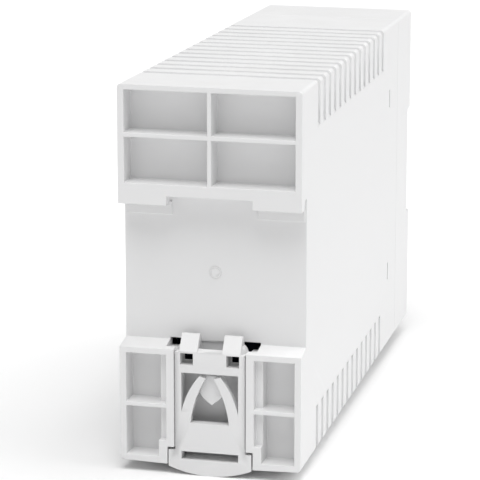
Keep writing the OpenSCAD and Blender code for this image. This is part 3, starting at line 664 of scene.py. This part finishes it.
def threadRadius(depth, shankRadius):
    value = screwValues

    def radiusAt(angle):
        phase = (depth / value["threadPitch"] - angle / (2 * math.pi)) % 1.0
        crest = max(0.0, 1 - abs(phase - 0.5) / value["crestShare"])
        return (shankRadius - value["threadDepth"] * (1 - crest)) / 1000

    return radiusAt


def screwMesh(length, headRadius, shankRadius):
    value = screwValues
    head = value["headDepth"]
    neck = evenRadius(shankRadius - value["neckInset"])
    root = shankRadius - value["threadDepth"]
    rows = [(depth, evenRadius(headRadius - inset)) for depth, inset in value["crown"]]
    rows.append((head - value["rimHeight"], evenRadius(headRadius)))
    rows.append((head, evenRadius(headRadius - value["rimInset"])))
    rows.extend([(head, neck), (head + value["neckLength"], neck)])
    depth = head + value["threadStart"]
    while depth < length - value["threadStop"]:
        rows.append((depth, threadRadius(depth, shankRadius)))
        depth += value["threadPitch"] / value["rowsPerPitch"]
    rows.append((length - value["tipLength"], evenRadius(root)))
    rows.append((length, evenRadius(root - value["tipInset"])))
    mesh = bmesh.new()
    latheRows(mesh, [(depth / 1000, radiusAt) for depth, radiusAt in rows], value["sides"])
    bmesh.ops.recalc_face_normals(mesh, faces=mesh.faces)
    blank = linkMesh("screwBlank", storeMesh("screwBlank", mesh))
    cutter = crossCutter("screwCutter", value["slotLength"], value["slotWidth"], value["slotDepth"])
    cut = blank.modifiers.new("crossRecess", "BOOLEAN")
    cut.operation = "DIFFERENCE"
    cut.solver = "EXACT"
    cut.object = cutter
    result = plainMesh(blank)
    bpy.data.objects.remove(blank)
    bpy.data.objects.remove(cutter)
    return result


screwNodes = [node for node in cadNodes if "_screw_" in node]
low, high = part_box(screwNodes[0])
headRadius = (high.x - low.x) / 2 * 1000
screwShape = screwMesh((high.y - low.y) * 1000, headRadius, screwValues["shankRadius"])
for nodeName in screwNodes:
    side, word, number = nodeName.split("_")
    middle = centreOf(nodeName)
    data = screwShape.copy()
    data.transform(Matrix.Translation((middle.x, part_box(nodeName)[0].y, middle.z)))
    data.shade_smooth()
    data.set_sharp_from_angle(angle=math.radians(screwValues["shadeAngle"]))
    claimNode(evenNormals(side + "Screw" + number, data, "screwSteel"), nodeName)
print("clamp screws cut:", len(screwNodes))


# Board and the parts that stand on it

boardPieces = {
    "mainBoard": ("main_board", "boardGreen", 0.08),
    "insulatingSheet": ("insulating_sheet", "insulatingFilm", 0.05),
    "transformerCore": ("transformer_core", "ferriteGrey", 0.2),
    "transformerBobbin": ("transformer_bobbin", "moulderBlack", 0.1),
    "transformerWinding": ("transformer_winding", "tapeYellow", 0.4),
    "chokeCore": ("choke_core", "chokeGreen", 0.5),
    "inductorCore": ("inductor_core", "coreYellow", 0.5),
    "mainsCapacitor": ("mains_capacitor", "filmBoxYellow", 0.4),
    "snubberCapacitor": ("snubber_capacitor", "lacquerRed", 0.5),
    "safetyCapacitors": ("safety_capacitors", "lacquerBlue", 0.9),
    "surgeVaristor": ("surge_varistor", "lacquerBlue", 1.1),
    "inrushThermistor": ("inrush_thermistor", "lacquerGreen", 1.1),
    "fuseTube": ("fuse_tube", "fuseCeramic", 0.1),
    "fuseCaps": ("fuse_caps", "capNickel", 0.25),
    "fuseClips": ("fuse_clips", "capNickel", 0.08),
    "primaryHeatsink": ("primary_heatsink", "sinkAluminium", 0.15),
    "secondaryHeatsink": ("secondary_heatsink", "sinkAluminium", 0.15),
    "heatsinkScrews": ("heatsink_screws", "screwSteel", 0.15),
    "trimmerBody": ("trimmer_body", "trimmerBlue", 0.2),
    "trimmerRotor": ("trimmer_rotor", "rotorWhite", 0.12),
    "ledHolder": ("led_holder", "moulderBlack", 0.15),
    "statusLed": ("status_led", "lampGreen", 0.05),
    "lightPipe": ("light_pipe", "lightGuide", 0.08),
    "chipResistors": ("chip_resistors", "epoxyBlack", 0.06),
}
for name, (nodeName, materialName, edge) in boardPieces.items():
    softenedCopy(name, nodeName, materialName, edge)

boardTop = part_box("main_board")[1].x

# Moulded packages with bare metal legs and tabs, sized in mm: the body of an upright package
# lies between two heights over the board, and a chip's legs start beyond its half width
packageValues = {"edge": 0.12, "bodyFrom": 4.95, "bodyTo": 14.05, "chipEdge": 0.1, "chipHalf": 3.22}
softenedCopy("bridgeRectifier", "bridge_rectifier", "epoxyBlack", 0.2)
bodyFrom = boardTop + packageValues["bodyFrom"] / 1000
bodyTo = boardTop + packageValues["bodyTo"] / 1000
for name, nodeName in (("switchTransistor", "switch_transistor"), ("outputDiode", "output_diode")):
    package = softenedCopy(name, nodeName, "epoxyBlack", packageValues["edge"])
    paintFaces(package, "capNickel", lambda centre, normal: not bodyFrom < centre.x < bodyTo)
for name, nodeName, materialName in (("controlChip", "control_chip", "epoxyBlack"),
        ("optocoupler", "optocoupler", "epoxyWhite")):
    chip = softenedCopy(name, nodeName, materialName, packageValues["chipEdge"])
    middle = centreOf(nodeName).z
    reach = packageValues["chipHalf"] / 1000
    paintFaces(chip, "solderTin", lambda centre, normal: abs(centre.z - middle) > reach)

# The radius is that of the three small cans
canValues = {"radius": 5.0, "stripeAngle": 19, "lidInset": 0.9, "lidDepth": 1.5, "edge": 0.1}


def canPiece(name, nodeName, middles, radius):
    piece = softenedCopy(name, nodeName, "sleeveBlack", canValues["edge"])
    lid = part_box(nodeName)[1].x - canValues["lidDepth"] / 1000

    def nearest(centre):
        return min(middles, key=lambda middle: math.dist(middle, centre.yz))

    def onStripe(centre, normal):
        middle = nearest(centre)
        angle = math.degrees(math.atan2(centre.y - middle[0], centre.z - middle[1]))
        return abs(angle) < canValues["stripeAngle"] and abs(normal.x) < 0.5

    def onLid(centre, normal):
        away = math.dist(nearest(centre), centre.yz)
        return centre.x > lid and away < radius - canValues["lidInset"] / 1000

    paintFaces(piece, "sleeveStripe", onStripe)
    paintFaces(piece, "canAluminium", onLid)


low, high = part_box("bulk_capacitor")
bulkMiddle = ((low.y + high.y) / 2, (low.z + high.z) / 2)
canPiece("bulkCapacitor", "bulk_capacitor", [bulkMiddle], (high.y - low.y) / 2)
low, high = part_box("output_capacitors")
radius = canValues["radius"] / 1000
canPiece("outputCapacitors", "output_capacitors", [(high.y - radius, high.z - radius),
    (low.y + radius, high.z - radius), (high.y - radius, low.z + radius)], radius)
print("board parts finished")


# Blank rating plate on the face, set in the cover's shallow field

# Millimetres across and up, from the middle and the underside of the housing
plateValues = {"low": (-3.6, 36.9), "high": (15.75, 56.8), "corner": 1.2, "cornerSteps": 6,
    "thickness": 0.16, "depth": 66.5, "lift": 2.6, "edge": 0.04, "shadeAngle": 40}


def ratingPlate(name):
    value = plateValues
    mesh = bmesh.new()
    outline = []
    corners = ((1, 1, 0), (0, 1, 90), (0, 0, 180), (1, 0, 270))
    for right, upper, startAngle in corners:
        x = value["high"][0] - value["corner"] if right else value["low"][0] + value["corner"]
        z = value["high"][1] - value["corner"] if upper else value["low"][1] + value["corner"]
        for step in range(value["cornerSteps"] + 1):
            angle = math.radians(startAngle + 90 / value["cornerSteps"] * step)
            across, upward = value["corner"] * math.cos(angle), value["corner"] * math.sin(angle)
            outline.append((x + across, z + upward))
    back = [mesh.verts.new(mm(x, -value["depth"], z + value["lift"])) for x, z in outline]
    face = mesh.faces.new(back)
    grown = bmesh.ops.extrude_face_region(mesh, geom=[face])
    raised = [item for item in grown["geom"] if isinstance(item, bmesh.types.BMVert)]
    bmesh.ops.translate(mesh, verts=raised, vec=mm(0, -value["thickness"], 0))
    bmesh.ops.recalc_face_normals(mesh, faces=mesh.faces)
    rim = [line for line in mesh.edges if all(corner in raised for corner in line.verts)]
    bmesh.ops.bevel(mesh, geom=rim, offset=value["edge"] / 1000, segments=2, profile=0.5,
        affect="EDGES")
    data = storeMesh(name, mesh)
    data.shade_smooth()
    data.set_sharp_from_angle(angle=math.radians(value["shadeAngle"]))
    return evenNormals(name, data, "plateFilm")


plate = ratingPlate("ratingPlate")
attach(plate, bodyOf("front_cover"))


# Geometry Nodes helpers

def startTree(name, inputs):
    tree = bpy.data.node_groups.new(name, "GeometryNodeTree")
    for label, kind, value in inputs:
        socket = tree.interface.new_socket(label, in_out="INPUT", socket_type=kind)
        if value is not None:
            socket.default_value = value
    tree.interface.new_socket("Geometry", in_out="OUTPUT", socket_type="NodeSocketGeometry")
    return tree, tree.nodes.new("NodeGroupInput"), tree.nodes.new("NodeGroupOutput")


def addGeometryNode(tree, kind, inputs=None, **settings):
    node = tree.nodes.new(kind)
    for key, value in settings.items():
        setattr(node, key, value)
    for label, value in (inputs or {}).items():
        if isinstance(value, bpy.types.NodeSocket):
            tree.links.new(value, node.inputs[label])
        else:
            node.inputs[label].default_value = value
    return node


def nodeMath(tree, operation, first, second=0.0):
    return addGeometryNode(tree, "ShaderNodeMath", {0: first, 1: second}, operation=operation).outputs[0]


def nodeVector(tree, x=0.0, y=0.0, z=0.0):
    return addGeometryNode(tree, "ShaderNodeCombineXYZ", {0: x, 1: y, 2: z}).outputs[0]


def growMesh(name, tree, values, startMesh=None):
    # Run the tree on a carrier object and keep the plain result
    carrier = linkMesh(name + "Carrier", startMesh or bpy.data.meshes.new(name + "Carrier"))
    modifier = carrier.modifiers.new(name, "NODES")
    modifier.node_group = tree
    for item in tree.interface.items_tree:
        if item.item_type == "SOCKET" and item.in_out == "INPUT" and item.name in values:
            modifier[item.identifier] = values[item.name]
    result = plainMesh(carrier)
    bpy.data.objects.remove(carrier)
    result.name = name
    return linkMesh(name, result)


# Wire turns on the ring cores

# The wire's radii are shares of its width
wireValues = {"bendSteps": 4, "bendRadius": 0.9, "sides": 8, "radius": 0.485}


def buildRingTurns():
    # Rounded loops of wire set around a ring in equal sectors, ring axis across
    tree, enter, leave = startTree("ringTurns", [
        ("Outer Radius", floatKind, 0.008), ("Inner Radius", floatKind, 0.004),
        ("Core Height", floatKind, 0.008), ("Wire Width", floatKind, 0.0009),
        ("Turns", "NodeSocketInt", 9), ("Sectors", "NodeSocketInt", 2),
        ("Sector Angle", floatKind, 2.0),
        ("Centre", "NodeSocketVector", (0.0, 0.0, 0.0)), ("Finish", "NodeSocketMaterial", None)])
    given = enter.outputs
    wire = given["Wire Width"]
    thick = nodeMath(tree, "SUBTRACT", given["Outer Radius"], given["Inner Radius"])
    loop = addGeometryNode(tree, "GeometryNodeCurvePrimitiveQuadrilateral",
        {"Width": nodeMath(tree, "ADD", thick, wire),
            "Height": nodeMath(tree, "ADD", given["Core Height"], wire)})
    bend = nodeMath(tree, "MULTIPLY", wire, wireValues["bendRadius"])
    rounded = addGeometryNode(tree, "GeometryNodeFilletCurve", {"Curve": loop.outputs[0],
        "Count": wireValues["bendSteps"], "Radius": bend, "Limit Radius": True}, mode="POLY")
    wireRadius = nodeMath(tree, "MULTIPLY", wire, wireValues["radius"])
    section = addGeometryNode(tree, "GeometryNodeCurvePrimitiveCircle",
        {"Resolution": wireValues["sides"], "Radius": wireRadius}, mode="RADIUS")
    tube = addGeometryNode(tree, "GeometryNodeCurveToMesh",
        {"Curve": rounded.outputs[0], "Profile Curve": section.outputs[0]})
    bothRadii = nodeMath(tree, "ADD", given["Outer Radius"], given["Inner Radius"])
    middle = nodeMath(tree, "MULTIPLY", bothRadii, 0.5)
    stood = addGeometryNode(tree, "GeometryNodeTransform", {"Geometry": tube.outputs[0],
        "Rotation": (math.radians(90), 0.0, 0.0), "Translation": nodeVector(tree, middle)})
    total = nodeMath(tree, "MULTIPLY", given["Turns"], given["Sectors"])
    row = addGeometryNode(tree, "GeometryNodeMeshLine", {"Count": total, "Offset": (0.0, 0.0, 0.0)})
    index = addGeometryNode(tree, "GeometryNodeInputIndex").outputs[0]
    sector = nodeMath(tree, "FLOOR", nodeMath(tree, "DIVIDE", index, given["Turns"]))
    turn = nodeMath(tree, "MODULO", index, given["Turns"])
    gaps = nodeMath(tree, "SUBTRACT", given["Turns"], 1.0)
    between = nodeMath(tree, "DIVIDE", given["Sector Angle"], gaps)
    sectorStep = nodeMath(tree, "DIVIDE", 2 * math.pi, given["Sectors"])
    angle = nodeMath(tree, "ADD", nodeMath(tree, "MULTIPLY", sector, sectorStep),
        nodeMath(tree, "MULTIPLY", turn, between))
    spin = addGeometryNode(tree, "FunctionNodeEulerToRotation", {0: nodeVector(tree, z=angle)})
    copies = addGeometryNode(tree, "GeometryNodeInstanceOnPoints", {"Points": row.outputs[0],
        "Instance": stood.outputs[0], "Rotation": spin.outputs[0]})
    placed = addGeometryNode(tree, "GeometryNodeTransform", {"Geometry": copies.outputs[0],
        "Rotation": (0.0, math.radians(90), 0.0), "Translation": given["Centre"]})
    real = addGeometryNode(tree, "GeometryNodeRealizeInstances", {"Geometry": placed.outputs[0]})
    smooth = addGeometryNode(tree, "GeometryNodeSetShadeSmooth", {"Geometry": real.outputs[0]})
    painted = addGeometryNode(tree, "GeometryNodeSetMaterial",
        {"Geometry": smooth.outputs[0], "Material": given["Finish"]})
    tree.links.new(painted.outputs[0], leave.inputs[0])
    return tree


ringTurns = buildRingTurns()
# Radii and widths in mm, and the angle that a sector's turns take up in degrees
ringPieces = {
    "chokeWindings": {"node": "choke_windings", "core": "choke_core", "inner": 4.2, "wire": 0.9,
        "turns": 9, "sectors": 2, "angle": 116},
    "inductorWinding": {"node": "inductor_winding", "core": "inductor_core", "inner": 4.8, "wire": 1.1,
        "turns": 19, "sectors": 1, "angle": 280},
}
for name, value in ringPieces.items():
    low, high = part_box(value["core"])
    piece = growMesh(name, ringTurns, {"Outer Radius": (high.y - low.y) / 2,
        "Inner Radius": value["inner"] / 1000, "Core Height": high.x - low.x,
        "Wire Width": value["wire"] / 1000, "Turns": value["turns"], "Sectors": value["sectors"],
        "Sector Angle": math.radians(value["angle"]), "Centre": (low + high) / 2,
        "Finish": finish["copperEnamel"]})
    claimNode(piece, value["node"])
print("wire turns wound")


# Solder joints on the back of the board

# Radius and height in mm; the shares are of the bead's radius and of its height
solderValues = {"radius": 0.95, "height": 0.4, "spread": 0.18, "seed": 7, "sides": 18,
    "waistShare": 0.55, "tipShare": 0.3, "footShare": 0.4}
# Where each part's leads come through, as shares of its box along Y and Z
leadSpots = {
    "bulk_capacitor": ((0.5, 0.3), (0.5, 0.7)),
    "choke_core": ((0.1, 0.3), (0.9, 0.3), (0.1, 0.7), (0.9, 0.7)),
    "inductor_core": ((0.15, 0.2), (0.85, 0.2)),
    "mains_capacitor": ((0.08, 0.5), (0.92, 0.5)),
    "snubber_capacitor": ((0.1, 0.5), (0.9, 0.5)),
    "safety_capacitors": ((0.5, 0.08), (0.5, 0.3), (0.5, 0.7), (0.5, 0.92)),
    "surge_varistor": ((0.5, 0.2), (0.5, 0.8)),
    "inrush_thermistor": ((0.5, 0.2), (0.5, 0.8)),
    "bridge_rectifier": ((0.1, 0.5), (0.37, 0.5), (0.63, 0.5), (0.9, 0.5)),
    "switch_transistor": ((0.25, 0.5), (0.5, 0.5), (0.75, 0.5)),
    "output_diode": ((0.25, 0.5), (0.5, 0.5), (0.75, 0.5)),
    "fuse_clips": ((0.06, 0.3), (0.06, 0.7), (0.94, 0.3), (0.94, 0.7)),
    "transformer_bobbin": tuple((y, z) for y in (0.05, 0.95) for z in (0.1, 0.25, 0.75, 0.9)),
    "output_capacitors": ((0.15, 0.78), (0.31, 0.78), (0.69, 0.78), (0.85, 0.78),
        (0.69, 0.24), (0.85, 0.24)),
    "trimmer_body": ((0.2, 0.2), (0.2, 0.8), (0.8, 0.5)),
}


def buildSolderJoints():
    # A hollow-sided bead with the clipped lead in it, at each point of the mesh
    tree, enter, leave = startTree("solderJoints", [("Geometry", "NodeSocketGeometry", None),
        ("Radius", floatKind, 0.001), ("Height", floatKind, 0.0004), ("Spread", floatKind, 0.2),
        ("Seed", "NodeSocketInt", 1), ("Finish", "NodeSocketMaterial", None)])
    given = enter.outputs
    radius = given["Radius"]
    height = given["Height"]
    waist = nodeMath(tree, "MULTIPLY", radius, solderValues["waistShare"])
    tip = nodeMath(tree, "MULTIPLY", radius, solderValues["tipShare"])
    footHeight = nodeMath(tree, "MULTIPLY", height, solderValues["footShare"])
    neckHeight = nodeMath(tree, "SUBTRACT", height, footHeight)
    foot = addGeometryNode(tree, "GeometryNodeMeshCone", {"Vertices": solderValues["sides"],
        "Radius Bottom": radius, "Radius Top": waist, "Depth": footHeight})
    neck = addGeometryNode(tree, "GeometryNodeMeshCone", {"Vertices": solderValues["sides"],
        "Radius Bottom": waist, "Radius Top": tip, "Depth": neckHeight})
    raised = addGeometryNode(tree, "GeometryNodeTransform",
        {"Geometry": neck.outputs[0], "Translation": nodeVector(tree, z=footHeight)})
    bead = addGeometryNode(tree, "GeometryNodeJoinGeometry")
    tree.links.new(foot.outputs[0], bead.inputs[0])
    tree.links.new(raised.outputs[0], bead.inputs[0])
    low = nodeMath(tree, "SUBTRACT", 1.0, given["Spread"])
    wide = addGeometryNode(tree, "FunctionNodeRandomValue", data_type="FLOAT")
    tree.links.new(low, wide.inputs[2])
    wide.inputs[3].default_value = 1.0
    tree.links.new(given["Seed"], wide.inputs["Seed"])
    size = nodeVector(tree, wide.outputs[1], wide.outputs[1], 1.0)
    copies = addGeometryNode(tree, "GeometryNodeInstanceOnPoints", {"Points": given["Geometry"],
        "Instance": bead.outputs[0], "Rotation": (0.0, math.radians(-90), 0.0), "Scale": size})
    real = addGeometryNode(tree, "GeometryNodeRealizeInstances", {"Geometry": copies.outputs[0]})
    painted = addGeometryNode(tree, "GeometryNodeSetMaterial",
        {"Geometry": real.outputs[0], "Material": given["Finish"]})
    tree.links.new(painted.outputs[0], leave.inputs[0])
    return tree


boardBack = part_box("main_board")[0].x
jointPlaces = []
for nodeName, spots in leadSpots.items():
    low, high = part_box(nodeName)
    for shareY, shareZ in spots:
        placeY = low.y + (high.y - low.y) * shareY
        placeZ = low.z + (high.z - low.z) * shareZ
        jointPlaces.append((boardBack, placeY, placeZ))
jointMesh = bpy.data.meshes.new("jointPlaces")
jointMesh.from_pydata(jointPlaces, [], [])
joints = growMesh("solderJoints", buildSolderJoints(), {"Radius": solderValues["radius"] / 1000,
    "Height": solderValues["height"] / 1000, "Spread": solderValues["spread"],
    "Seed": solderValues["seed"], "Finish": finish["solderTin"]}, jointMesh)
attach(joints, bodyOf("main_board"))
print("solder joints placed:", len(jointPlaces))


# Floor, light and camera

stageValues = {"floorSize": 6.0, "floorTone": 0.9, "floorRoughness": 0.9, "floorShine": 0.1,
    "worldStrength": 0.4}
floorMesh = bmesh.new()
bmesh.ops.create_grid(floorMesh, x_segments=1, y_segments=1, size=stageValues["floorSize"] / 2)
floorData = storeMesh("floor", floorMesh)
floor = linkMesh("floor", floorData)
floorMaterial, floorTree, floorShader = startMaterial("floorPaper")
floorShader.inputs["Base Color"].default_value = (*[stageValues["floorTone"]] * 3, 1.0)
floorShader.inputs["Roughness"].default_value = stageValues["floorRoughness"]
floorShader.inputs["Specular IOR Level"].default_value = stageValues["floorShine"]
floorData.materials.append(floorMaterial)

world = bpy.data.worlds.new("studio")
scene.world = world
world.use_nodes = True
sky = world.node_tree.nodes["Background"]
sky.inputs["Color"].default_value = (1.0, 1.0, 1.0, 1.0)
sky.inputs["Strength"].default_value = stageValues["worldStrength"]
scene.view_settings.view_transform = "Standard"


def addDistantLight(name, source, strength, spread):
    lamp = bpy.data.lights.new(name, "SUN")
    lamp.energy = strength
    lamp.angle = math.radians(spread)
    light = bpy.data.objects.new(name, lamp)
    light.rotation_mode = "QUATERNION"
    light.rotation_quaternion = Vector(source).to_track_quat("Z", "Y")
    scene.collection.objects.link(light)


# Direction each light comes from, its strength and how soft it is in degrees
lights = {
    "overhead": ((-0.02, 0.4, 1.0), 1.75, 35),
    "sideways": ((-1.0, -0.35, 1.3), 1.45, 60),
}
for lightName, (source, strength, spread) in lights.items():
    addDistantLight(lightName, source, strength, spread)

viewpoint = {"aim": mm(9.471, 3.674, 41.274), "azimuth": 194.205, "elevation": 13.327,
    "distance": 0.7015, "lens": 206.47}
cameraData = bpy.data.cameras.new("camera")
cameraData.lens = viewpoint["lens"]
cameraData.sensor_width = 36.0
cameraData.clip_start = 0.05
cameraData.clip_end = 20.0
camera = bpy.data.objects.new("camera", cameraData)
turn, rise = math.radians(viewpoint["azimuth"]), math.radians(viewpoint["elevation"])
outward = Vector((math.sin(turn) * math.cos(rise), -math.cos(turn) * math.cos(rise), math.sin(rise)))
camera.location = Vector(viewpoint["aim"]) + outward * viewpoint["distance"]
camera.rotation_mode = "QUATERNION"
camera.rotation_quaternion = (-outward).to_track_quat("-Z", "Y")
scene.collection.objects.link(camera)
scene.camera = camera
print("stage set")
